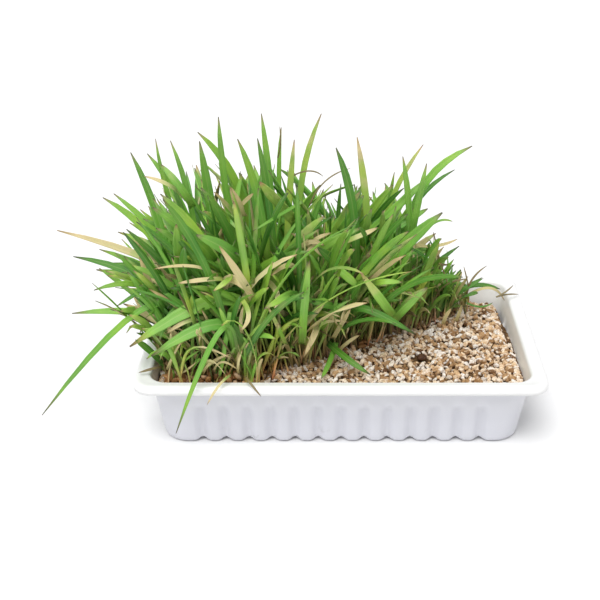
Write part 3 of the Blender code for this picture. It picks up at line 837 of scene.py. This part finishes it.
def scatter_chips(finish):
    """Loose flakes, in two pieces, which leave the husk free."""
    rng = random.Random(22)
    shapes = chip_shapes()
    halves = (bmesh.new(), bmesh.new())
    for x, y, heap in chip_spots(rng):
        size = rng.uniform(*CHIP_SIZE)
        level = bed_height(y) + heap + rng.uniform(-0.7, 0.7) * MM
        x, y = inside_wall(x, y, level, size * 1.5)
        if heap and in_grass(x, y) and rng.random() < 0.6:
            continue
        free = HUSK_SIZE[0] + (4 * MM if heap else size * 0.9)
        if math.hypot(x - HUSK_SPOT[0], y - HUSK_SPOT[1]) < free:
            continue
        matrix = Matrix.Translation((x, y, level)) @ chip_turn(rng) @ Matrix.Scale(size, 4)
        tint = chip_tint(rng, in_grass(x, y))
        copy = rng.choice(shapes).copy()
        copy.transform(matrix)
        add_copy(halves[x >= 20 * MM], copy, {"tint": tint})
    for side, bm in enumerate(halves):
        mesh_piece(f"loose_granules_{side}", bm, finish, smooth=False)
    for shape in shapes:
        bpy.data.meshes.remove(shape)


def make_husk(finish):
    bm = bmesh.new()
    shell = bmesh.ops.create_icosphere(bm, subdivisions=3, radius=1)["verts"]
    rng = random.Random(3)
    bmesh.ops.scale(bm, verts=shell, vec=HUSK_SIZE)
    for vert in shell:
        vert.co *= 1 + rng.uniform(-0.05, 0.03)
    crown = Vector((*HUSK_SPOT, bed_height(HUSK_SPOT[1]) + HUSK_SIZE[2]))
    bmesh.ops.translate(bm, verts=shell, vec=crown)
    husk = mesh_piece("dark_seed_husk", bm, finish)
    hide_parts("seed_husk")


# Where the seedlings stand

def in_grass(x, y):
    """The grass fills the left and the back; the front right is bare."""
    if abs(x) > SITE_REACH[0] or abs(y) > SITE_REACH[1]:
        return False
    return x < EDGE_START[0] or y > EDGE_START[1] + (x - EDGE_START[0]) * EDGE_SLOPE


def clump_sites():
    rng = random.Random(11)
    sites = []
    row_step = SITE_SPACING * math.sqrt(3) / 2
    rows = int(SITE_REACH[1] * 2 / row_step) + 1
    columns = int(SITE_REACH[0] * 2 / SITE_SPACING) + 2
    for row in range(rows):
        for column in range(columns):
            x = -SITE_REACH[0] + SITE_SPACING * (column + 0.5 * (row % 2))
            y = -SITE_REACH[1] + row_step * row
            x += rng.uniform(-SITE_JITTER, SITE_JITTER)
            y += rng.uniform(-SITE_JITTER, SITE_JITTER)
            if in_grass(x, y):
                sites.append(Vector((x, y, bed_height(y))))
    return sites


def nearest(sites, spot):
    return min(range(len(sites)), key=lambda n: (sites[n].xy - spot.xy).length)


# Blades

def curve_spot(points, s):
    a, b, c, d = points
    r = 1 - s
    return a * r ** 3 + b * (3 * r * r * s) + c * (3 * r * s * s) + d * s ** 3


def curve_slope(points, s):
    a, b, c, d = points
    r = 1 - s
    return (b - a) * (r * r) + (c - b) * (2 * r * s) + (d - c) * (s * s)


@dataclass
class Blade:
    """One leaf on a cubic curve from its crown, by a rise and a knee, to its tip."""

    points: tuple
    stations: tuple
    width: float
    facing: float
    tilt: float
    twist: float

    def at(self, s):
        return curve_spot(self.points, s)

    def heading(self, s):
        return curve_slope(self.points, s).normalized()

    def across(self, s):
        """Unit vectors across the leaf and out of its back."""
        turn = self.facing + self.twist * s
        face = Vector((math.cos(turn), math.sin(turn), self.tilt))
        side = self.heading(s).cross(face).normalized()
        return side, self.heading(s).cross(side).normalized()

    def breadth(self, s):
        """A slim sheath that opens into the leaf and runs out to a point."""
        sheath = 0.45 + 0.55 * smooth_step(0.1, 0.45, s)
        return self.width * sheath * min(1.0, (1 - s) / TIP_TAPER) ** 0.55


def blade_skin(blade, grow=0.0):
    """Three corners at each station and one at the tip, split alike on every side."""
    points = []
    for s in blade.stations:
        spot = blade.at(s)
        side, back = blade.across(s)
        half = blade.breadth(s) / 2 + grow
        points += [spot - side * half, spot + side * half, spot + back * (KEEL + grow)]
    points.append(blade.at(1.0))
    tip = len(points) - 1
    faces = [(0, 2, 1)]
    for ring in range(len(blade.stations) - 1):
        for corner in range(3):
            a = ring * 3 + corner
            b = ring * 3 + (corner + 1) % 3
            faces += [(a, b, b + 3), (a, b + 3, a + 3)]
    for corner in range(3):
        faces.append((tip - 3 + corner, tip - 3 + (corner + 1) % 3, tip))
    return points, faces


def folded(blade):
    """Whether a filler's skin crosses itself, as in a bend that is too tight."""
    if blade.stations is LEADING_STATIONS:
        return False
    points, faces = blade_skin(blade)
    tree = BVHTree.FromPolygons(points, faces)
    return any(not set(faces[a]) & set(faces[b]) for a, b in tree.overlap(tree))


def clears_tray(blade):
    """The leaf stays above the granules and the rim, and off the ground."""
    if blade.stations is not LEADING_STATIONS and not within_reach(blade):
        return False
    for step in range(3, 17):
        spot = blade.at(step / 16)
        inside_x = abs(spot.x) - RIM_LENGTH / 2
        inside_y = abs(spot.y) - RIM_DEPTH / 2
        if inside_x > 3 * MM or inside_y > 3 * MM:
            floor = 8 * MM
        elif inside_x > -RIM_TOP - 6 * MM or inside_y > -RIM_TOP - 6 * MM:
            floor = TRAY_HEIGHT + 2.5 * MM
        else:
            floor = bed_height(spot.y) + 3 * MM
        if spot.z < floor:
            return False
    return True


def crown_foot(crown, around, rng):
    """A leaf starts on the side of its crown that it leans to."""
    around += rng.uniform(-0.9, 0.9)
    return crown + level_way(around) * rng.uniform(1.5, 4.9) * MM


def slid(spot, amount):
    """A spot moved along the line of sight, so that it shows in the same place."""
    return spot + (spot - EYE).normalized() * amount


def spot_of(row, start=0):
    """The place that a table's row gives from its column start on."""
    return Vector(row[start:start + 3]) * MM


def leading_blade(crown, row, attempt):
    """A leaf of the outline, slid along the line of sight until it hangs clear."""
    rng = random.Random(attempt + 7 * int(row[0]))
    slide = rng.uniform(-1.0, 1.0) * attempt * MM
    tip = slid(spot_of(row), slide)
    knee = slid(spot_of(row, 3), slide * 0.8)
    foot = crown_foot(crown, math.atan2(knee.y - crown.y, knee.x - crown.x), rng)
    rise = foot.lerp(knee, 0.15)
    rise.z = foot.z + (knee.z - foot.z) * 0.6
    return Blade((foot, rise, knee, tip), LEADING_STATIONS, row[6] * MM, FACING_FRONT, 0.6, 0.0)


def crest(x):
    """How high the body of the grass shows from the front, over the tray's middle line."""
    fall = CREST_LEFT[2] * (1 - smooth_step(CREST_LEFT[0], CREST_LEFT[1], x))
    fall += CREST_MIDDLE[2] * smooth_step(CREST_MIDDLE[0], CREST_MIDDLE[1], x)
    fall += CREST_RIGHT[2] * smooth_step(CREST_RIGHT[0], CREST_RIGHT[1], x)
    return CREST - fall


def room_above(spot):
    """How far it is from a spot up to where the crest cuts the line of sight over it."""
    share = EYE_DISTANCE / (EYE_DISTANCE + spot.y)
    return EYE_HEIGHT - (EYE_HEIGHT - crest(spot.x * share)) / share - spot.z


def within_reach(blade):
    """Fillers stay inside the outline that the leading leaves give."""
    low, high = FILLER_REACH
    tip = blade.at(1.0)
    if not (low[0] < tip.x < high[0] and low[1] < tip.y < high[1]):
        return False
    if tip.x < -RIM_LENGTH / 2 and tip.z < SPREAD_FLOOR:
        return False
    return min(room_above(blade.at(s)) for s in (0.6, 0.8, 1.0)) > 0


def arching(foot, around, lean, droop, reach):
    """Control points of a leaf that leans one way and droops more and more."""
    points = [foot]
    for share, bend in ((0.42, 0.0), (0.31, 0.45), (0.27, 1.0)):
        angle = lean + droop * bend
        level = math.sin(angle)
        step = Vector((math.cos(around) * level, math.sin(around) * level, math.cos(angle)))
        points.append(points[-1] + step * reach * share)
    return points


def loose_blade(rng, points, stations, width, twist):
    """A leaf that faces any way."""
    return Blade(points, stations, width, rng.uniform(-math.pi, math.pi),
                 rng.uniform(0.1, 0.6), rng.uniform(-twist, twist))


def filler_blade(crown, number, attempt, straw):
    """A leaf that leans out from the middle of the clump and droops at the tip."""
    rng = random.Random(int(abs(crown.x) * 1e5) * 97 + number * 61 + attempt)
    short = number % 3 == 2
    reach = room_above(crown) * (rng.uniform(0.5, 0.85) if short else rng.uniform(0.9, 1.35))
    reach *= 0.85 if straw else 1.0
    outward = math.atan2(crown.y * 1.3, crown.x + 20 * MM)
    around = outward + rng.gauss(0.0, 1.2)
    spread = 30 * smooth_step(35 * MM, 110 * MM, abs(crown.x + 15 * MM))
    lean = math.radians(rng.triangular(2, 34, 9) + spread * rng.random())
    droop = math.radians(rng.triangular(4, 95 if straw else 70, 22))
    points = arching(crown_foot(crown, around, rng), around, lean, droop, reach)
    width = rng.uniform(2.8, 4.6) if short else rng.uniform(3.6, 6.0)
    stations = SHORT_STATIONS if short else LONG_STATIONS
    return loose_blade(rng, points, stations, width * MM * (0.8 if straw else 1.0), 0.7)


def box(points):
    return ([min(point[axis] for point in points) for axis in range(3)],
            [max(point[axis] for point in points) for axis in range(3)])


class Thicket:
    """Every leaf placed so far, so that no two clumps cross."""

    def __init__(self):
        self.placed = []

    def meets(self, clump, points, faces, own):
        """Whether the skin crosses another clump, or with own set its own clump's leaves."""
        low, high = box(points)
        tree = None
        for other, box_low, box_high, skin in self.placed:
            if other == ("crown", clump) or (other == clump) != own:
                continue
            if any(box_high[axis] < low[axis] or box_low[axis] > high[axis] for axis in range(3)):
                continue
            tree = tree or BVHTree.FromPolygons(points, faces)
            if tree.overlap(skin):
                return True
        return False

    def add(self, clump, points, faces):
        self.placed.append((clump, *box(points), BVHTree.FromPolygons(points, faces)))

    def grow(self, clump, draw):
        """The first draw that hangs clear of every other clump, the rim and the granules."""
        for attempt in range(TRIES):
            blade = draw(attempt)
            if not clears_tray(blade) or folded(blade):
                continue
            if self.meets(clump, *blade_skin(blade, BLADE_CLEAR), own=False):
                continue
            if attempt < TANGLE_TRIES and self.meets(clump, *blade_skin(blade, CLEAR), own=True):
                continue
            self.add(clump, *blade_skin(blade))
            return [blade]
        return []


def crown_skin(site):
    """The knot of seeds and roots that a clump grows from, as a squat drum."""
    bm = bmesh.new()
    drum = bmesh.ops.create_cone(bm, cap_ends=True, segments=CROWN_SIDES, radius1=CROWN_RADIUS,
                                 radius2=CROWN_RADIUS * 0.8, depth=CROWN_SINK + CROWN_RISE)
    bmesh.ops.translate(bm, verts=drum["verts"], vec=site + Vector((0, 0, (CROWN_RISE - CROWN_SINK) / 2)))
    return bm


def plan_clumps(sites):
    """Leaves of each clump: the leading ones first, then fillers turn by turn."""
    thicket = Thicket()
    straw = {nearest(sites, spot_of(row, 3) * KNEE_PULL) for row in LEADING if row[-1] in DRY_SHADES}
    for number, site in enumerate(sites):
        bm = crown_skin(site)
        bm.verts.ensure_lookup_table()
        thicket.add(("crown", number), [vert.co.copy() for vert in bm.verts],
                    [[vert.index for vert in face.verts] for face in bm.faces])
        bm.free()
    clumps = [[] for _ in sites]
    for row in LEADING:
        kind = [n for n in range(len(sites)) if (n in straw) == (row[-1] in DRY_SHADES)]
        clump = kind[nearest([sites[n] for n in kind], spot_of(row, 3) * KNEE_PULL)]
        crown = sites[clump] + ROOTING
        clumps[clump] += thicket.grow(clump, lambda attempt: leading_blade(crown, row, attempt))
    for number in range(BLADES_GREEN):
        for clump, site in enumerate(sites):
            limit = BLADES_STRAW if clump in straw else BLADES_GREEN
            if len(clumps[clump]) >= limit or number >= limit:
                continue
            crown = site + ROOTING
            clumps[clump] += thicket.grow(
                clump, lambda attempt: filler_blade(crown, number, attempt, clump in straw))
    return clumps, straw


# Fine leaves

def leaf_sheet(cells, start):
    """A flat strip of cells with its own map: u across the leaf, v from foot to tip."""
    bm = bmesh.new()
    bmesh.ops.create_grid(bm, x_segments=cells[0], y_segments=cells[1], size=1)
    layer = bm.loops.layers.uv.new("leaf_map")
    for face in bm.faces:
        for loop in face.loops:
            loop[layer].uv = ((loop.vert.co.x + 1) / 2, start + (1 - start) * (loop.vert.co.y + 1) / 2)
    return shape_mesh(f"leaf_sheet_{cells[1]}", bm, ("tint", "dry"))


def unit(vectors):
    return vectors / np.linalg.norm(vectors, axis=1, keepdims=True)


def leaf_points(blade, u, s, start, ripple):
    """Places of a leaf's points: rolled to a sheath at the foot, a shallow channel above."""
    points = [np.array(point) for point in blade.points]
    s = s[:, None]
    spot = curve_spot(points, s)
    heading = unit(curve_slope(points, s))
    turn = blade.facing + blade.twist * s + ripple * np.sin(s * 9)
    face = np.hstack([np.cos(turn), np.sin(turn), np.full_like(turn, blade.tilt)])
    side = unit(np.cross(heading, face))
    back = unit(np.cross(heading, side))
    s = start + (1 - start) * s[:, 0]
    sheath = 0.45 + 0.55 * smooth_steps(0.1, 0.45, s)
    half = blade.width * sheath * np.minimum(1.0, (1.003 - s) / TIP_TAPER) ** 0.55 / 2
    roll = 0.5 + 1.9 * (1 - smooth_steps(0.04, 0.34, s))
    radius = half / np.sin(np.minimum(roll, math.pi / 2))
    wide = radius * np.sin(u * roll)
    deep = radius * (np.cos(u * roll) - np.cos(roll))
    return spot + side * wide[:, None] + back * deep[:, None]


class LeafBatch:
    """Leaves gathered into one mesh, whole or, from a later start, without their sheaths."""

    def __init__(self, cells, start=0.0):
        self.start = start
        self.sheet = leaf_sheet(cells, start)
        grid = np.empty(len(self.sheet.vertices) * 3, np.float32)
        self.sheet.vertices.foreach_get("co", grid)
        self.u = grid[0::3].astype(float)
        self.s = (grid[1::3].astype(float) + 1) / 2
        self.bm = bmesh.new()

    def add(self, blade, tint, dry, ripple=0.0):
        copy = self.sheet.copy()
        places = leaf_points(blade, self.u, self.s, self.start, ripple)
        copy.vertices.foreach_set("co", places.astype(np.float32).ravel())
        add_copy(self.bm, copy, {"tint": tint, "dry": dry})

    def piece(self, name, finish, slot):
        made = mesh_piece(name, self.bm, finish)
        sheet = made.modifiers.new("leaf_thickness", "SOLIDIFY")
        sheet.thickness = LEAF_SHEET
        sheet.offset = 0
        bpy.data.meshes.remove(self.sheet)
        return made


def leading_shade(blade):
    """The shade of the row whose tip lies on this leaf's line of sight."""
    sight = (blade.at(1.0) - EYE).normalized()
    row = min(LEADING, key=lambda row: (sight - (spot_of(row) - EYE).normalized()).length)
    return SHADES[row[-1]]


def make_clumps(clumps, straw, finish):
    rng = random.Random(31)
    for number, blades in enumerate(clumps):
        dry = number in straw
        batch = LeafBatch(LEAF_CELLS)
        for blade in blades:
            tint = drawn_share(rng, 0.5, 0.25)
            wilt = rng.uniform(0.5, 1.0) if dry else max(0.0, rng.gauss(0.02, 0.12))
            if dry:
                tint = max(tint, 0.38)
                wilt *= 1 - 0.7 * smooth_step(110 * MM, 135 * MM, blade.at(1.0).z)
            else:
                tint = min(tint, 0.8)
            if blade.stations is LEADING_STATIONS:
                tint, wilt = leading_shade(blade)
            batch.add(blade, tint, wilt, rng.uniform(-0.12, 0.12))
        kind = "dry" if dry else "green"
        leaves = batch.piece(f"{kind}_leaves_{number:02d}", finish, "dry_leaf" if dry else "leaf")
        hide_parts(f"{kind}_clump_{number:02d}")


def arched(start, middle, tip):
    """Control points of the cubic that runs from start through middle to tip."""
    first, second = (middle - start).length, (tip - middle).length
    share = first / (first + second)
    rest = 1 - share
    knee = (middle - start * rest * rest - tip * share * share) / (2 * share * rest)
    return (start, start.lerp(knee, 2 / 3), tip.lerp(knee, 2 / 3), tip)


def make_featured(finish):
    rng = random.Random(35)
    batch = LeafBatch(LEAF_CELLS, start=FRONT_START)
    for row in FEATURED:
        points = arched(*(spot_of(row, start) for start in (0, 3, 6)))
        blade = Blade(points, LONG_STATIONS, row[9] * MM, FACING_FRONT, rng.uniform(0.4, 0.9),
                      rng.uniform(-0.4, 0.4))
        batch.add(blade, *SHADES[row[-1]], rng.uniform(-0.15, 0.15))
    batch.piece("front_leaves", finish, "leaf")


def undergrowth_blade(rng):
    """A seedling between the clumps: mostly short, upright and thin."""
    while True:
        x = rng.uniform(-106, 104) * MM
        y = rng.uniform(-58, 60) * MM
        if in_grass(max(-100 * MM, min(100 * MM, x)), max(-52 * MM, min(52 * MM, y))):
            break
    foot = Vector((x, y, bed_height(y) - 1 * MM))
    reach = room_above(foot) * rng.triangular(0.25, 1.05, 0.62)
    around = math.atan2(y * 1.3, x + 20 * MM) + rng.gauss(0.0, 1.3)
    lean = math.radians(rng.triangular(0, 38, 7))
    droop = math.radians(rng.triangular(0, 90, 25))
    points = arching(foot, around, lean, droop, reach)
    return loose_blade(rng, points, SHORT_STATIONS, rng.uniform(2.2, 5.0) * MM, 0.9)


def make_undergrowth(finish):
    rng = random.Random(41)
    for part in range(UNDERGROWTH_PARTS):
        batch = LeafBatch(THIN_CELLS)
        placed = 0
        while placed < UNDERGROWTH:
            blade = undergrowth_blade(rng)
            if not clears_tray(blade) or blade.at(1.0).y > 95 * MM:
                continue
            if blade.points[0].x > 45 * MM and rng.random() < 0.55:
                continue
            tint = drawn_share(rng, 0.42, 0.25)
            dry = rng.uniform(0.45, 1.0) if rng.random() < 0.16 else max(0.0, rng.gauss(0.02, 0.12))
            batch.add(blade, tint, dry, rng.uniform(-0.2, 0.2))
            placed += 1
        batch.piece(f"undergrowth_{part}", finish, "leaf")


def stem_foot(rng):
    """A place in the band of grass that borders the bare granules or the front wall."""
    while True:
        x = rng.uniform(-107, 92) * MM
        front = EDGE_START[1] + (x - EDGE_START[0]) * EDGE_SLOPE if x > EDGE_START[0] else -59 * MM
        y = front - 6 * MM + abs(rng.gauss(0, 13)) * MM
        if -62 * MM < y < 60 * MM:
            return Vector((x, y, bed_height(y) - 1 * MM))


def make_stems(finish):
    """Thin pale stems and withered blades along the front of the grass."""
    rng = random.Random(45)
    batch = LeafBatch(THIN_CELLS)
    placed = 0
    while placed < THIN_STEMS:
        foot = stem_foot(rng)
        height = min(rng.uniform(20, 78) * MM, room_above(foot) * 0.8)
        around = rng.uniform(0, 2 * math.pi)
        lean = level_way(around) * height
        points = (foot, foot + Vector((0, 0, height * 0.4)) + lean * rng.uniform(-0.1, 0.2),
                  foot + Vector((0, 0, height * 0.8)) + lean * rng.uniform(0.0, 0.4),
                  foot + Vector((0, 0, height * rng.uniform(0.45, 1.05))) + lean * rng.uniform(0.2, 0.7))
        blade = Blade(points, SHORT_STATIONS, rng.uniform(1.5, 2.9) * MM, rng.uniform(-math.pi, math.pi),
                      0.3, rng.uniform(-0.9, 0.9))
        if not clears_tray(blade):
            continue
        shade = rng.choices(("pale", "olive", "yellow", "straw", "brown", "light"), (4, 4, 3, 2, 1, 3))[0]
        batch.add(blade, *SHADES[shade], rng.uniform(-0.2, 0.2))
        placed += 1
    batch.piece("thin_stems", finish, "leaf")


def grain_shape():
    """A plump grain with a crease along its upper side."""
    bm = bmesh.new()
    bmesh.ops.create_icosphere(bm, subdivisions=2, radius=1)
    for vert in bm.verts:
        if vert.co.z > 0.2:
            vert.co.z -= 0.35 * math.exp(-(vert.co.y / 0.25) ** 2)
    return shape_mesh("grain", bm, ("tint",))


def grain_copy(grain, spot, roll, pitch, size):
    turn = Matrix.Rotation(roll, 4, "Z") @ Matrix.Rotation(pitch, 4, "Y")
    copy = grain.copy()
    copy.transform(Matrix.Translation(spot) @ turn @ Matrix.Diagonal((*size, 1.0)))
    return copy


def make_crowns(sites, kernel):
    """Sprouted grains and husks round the foot of each clump, and more in the front left corner."""
    rng = random.Random(51)
    grain = grain_shape()
    bm = bmesh.new()
    for site in (site for site in sites for _ in range(CROWN_GRAINS)):
        around = rng.uniform(0, 6.28)
        out = CROWN_RADIUS * 1.5 * math.sqrt(rng.random())
        level = bed_height(site.y) + rng.uniform(0.5, 3.2) * MM
        x, y = site.x + math.cos(around) * out, site.y + math.sin(around) * out
        x, y = inside_wall(x, y, level, GRAIN_REACH)
        copy = grain_copy(grain, (x, y, level), rng.uniform(0, 6.28), rng.gauss(0, 0.6), GRAIN_SIZE)
        add_copy(bm, copy, {"tint": rng.random()})
    for _ in range(CORNER_GRAINS):
        x, y = rng.uniform(-107, -62) * MM, rng.uniform(-62, -44) * MM
        level = bed_height(y) + rng.uniform(1.0, 8.5) * MM
        x, y = inside_wall(x, y, level, GRAIN_REACH)
        copy = grain_copy(grain, (x, y, level), rng.uniform(0, 6.28), rng.uniform(0.3, 1.5), CORNER_GRAIN)
        add_copy(bm, copy, {"tint": rng.uniform(0.15, 1.0)})
    mesh_piece("sprouted_grains", bm, kernel)
    bpy.data.meshes.remove(grain)


# Studio

def make_sky():
    """An even white sky, seen as pure white and shining at its own power."""
    world = bpy.data.worlds.new("studio")
    world.use_nodes = True
    nodes, links = world.node_tree.nodes, world.node_tree.links
    light = nodes["Background"]
    light.inputs["Color"].default_value = WHITE
    light.inputs["Strength"].default_value = SKY_POWER
    seen = nodes.new("ShaderNodeBackground")
    seen.inputs["Color"].default_value = WHITE
    both = nodes.new("ShaderNodeMixShader")
    links.new(nodes.new("ShaderNodeLightPath").outputs["Is Camera Ray"], both.inputs["Fac"])
    links.new(light.outputs["Background"], both.inputs[1])
    links.new(seen.outputs["Background"], both.inputs[2])
    links.new(both.outputs["Shader"], nodes["World Output"].inputs["Surface"])
    bpy.context.scene.world = world


def make_studio():
    bm = bmesh.new()
    bmesh.ops.create_grid(bm, x_segments=1, y_segments=1, size=12)
    floor = add_object("studio_floor", shape_mesh("studio_floor", bm))
    paper = Finish("studio_paper", roughness=0.9, specular=0.0)
    paper.colour(PAPER)
    floor.data.materials.append(paper.material)
    make_sky()
    sun = bpy.data.lights.new("soft_top_light", "SUN")
    sun.energy = SUN_POWER
    sun.angle = math.radians(SUN_WIDTH)
    lamp = add_object("soft_top_light", sun)
    lamp.rotation_euler = (math.radians(SUN_LEAN[0]), math.radians(SUN_LEAN[1]), 0)
    bpy.context.scene.view_settings.view_transform = "Standard"


def make_camera():
    lens = bpy.data.cameras.new("photo_view")
    lens.lens = LENS
    lens.shift_x, lens.shift_y = SHIFT
    camera = add_object("photo_view", lens)
    camera.location = EYE
    camera.rotation_euler = (math.radians(90 - PITCH_DOWN), 0, 0)
    bpy.context.scene.camera = camera


def main():
    make_camera()
    make_studio()
    leaf = leaf_finish()
    kernel = kernel_finish()
    make_tray(outer_shaded_finish(), upper_finish())
    make_bed(granule_shade_finish())
    scatter_chips(chip_finish())
    make_husk(husk_finish())
    sites = clump_sites()
    clumps, straw = plan_clumps(sites)
    make_clumps(clumps, straw, leaf)
    make_featured(leaf)
    make_undergrowth(leaf)
    make_stems(leaf)
    make_crowns(sites, kernel)


main()
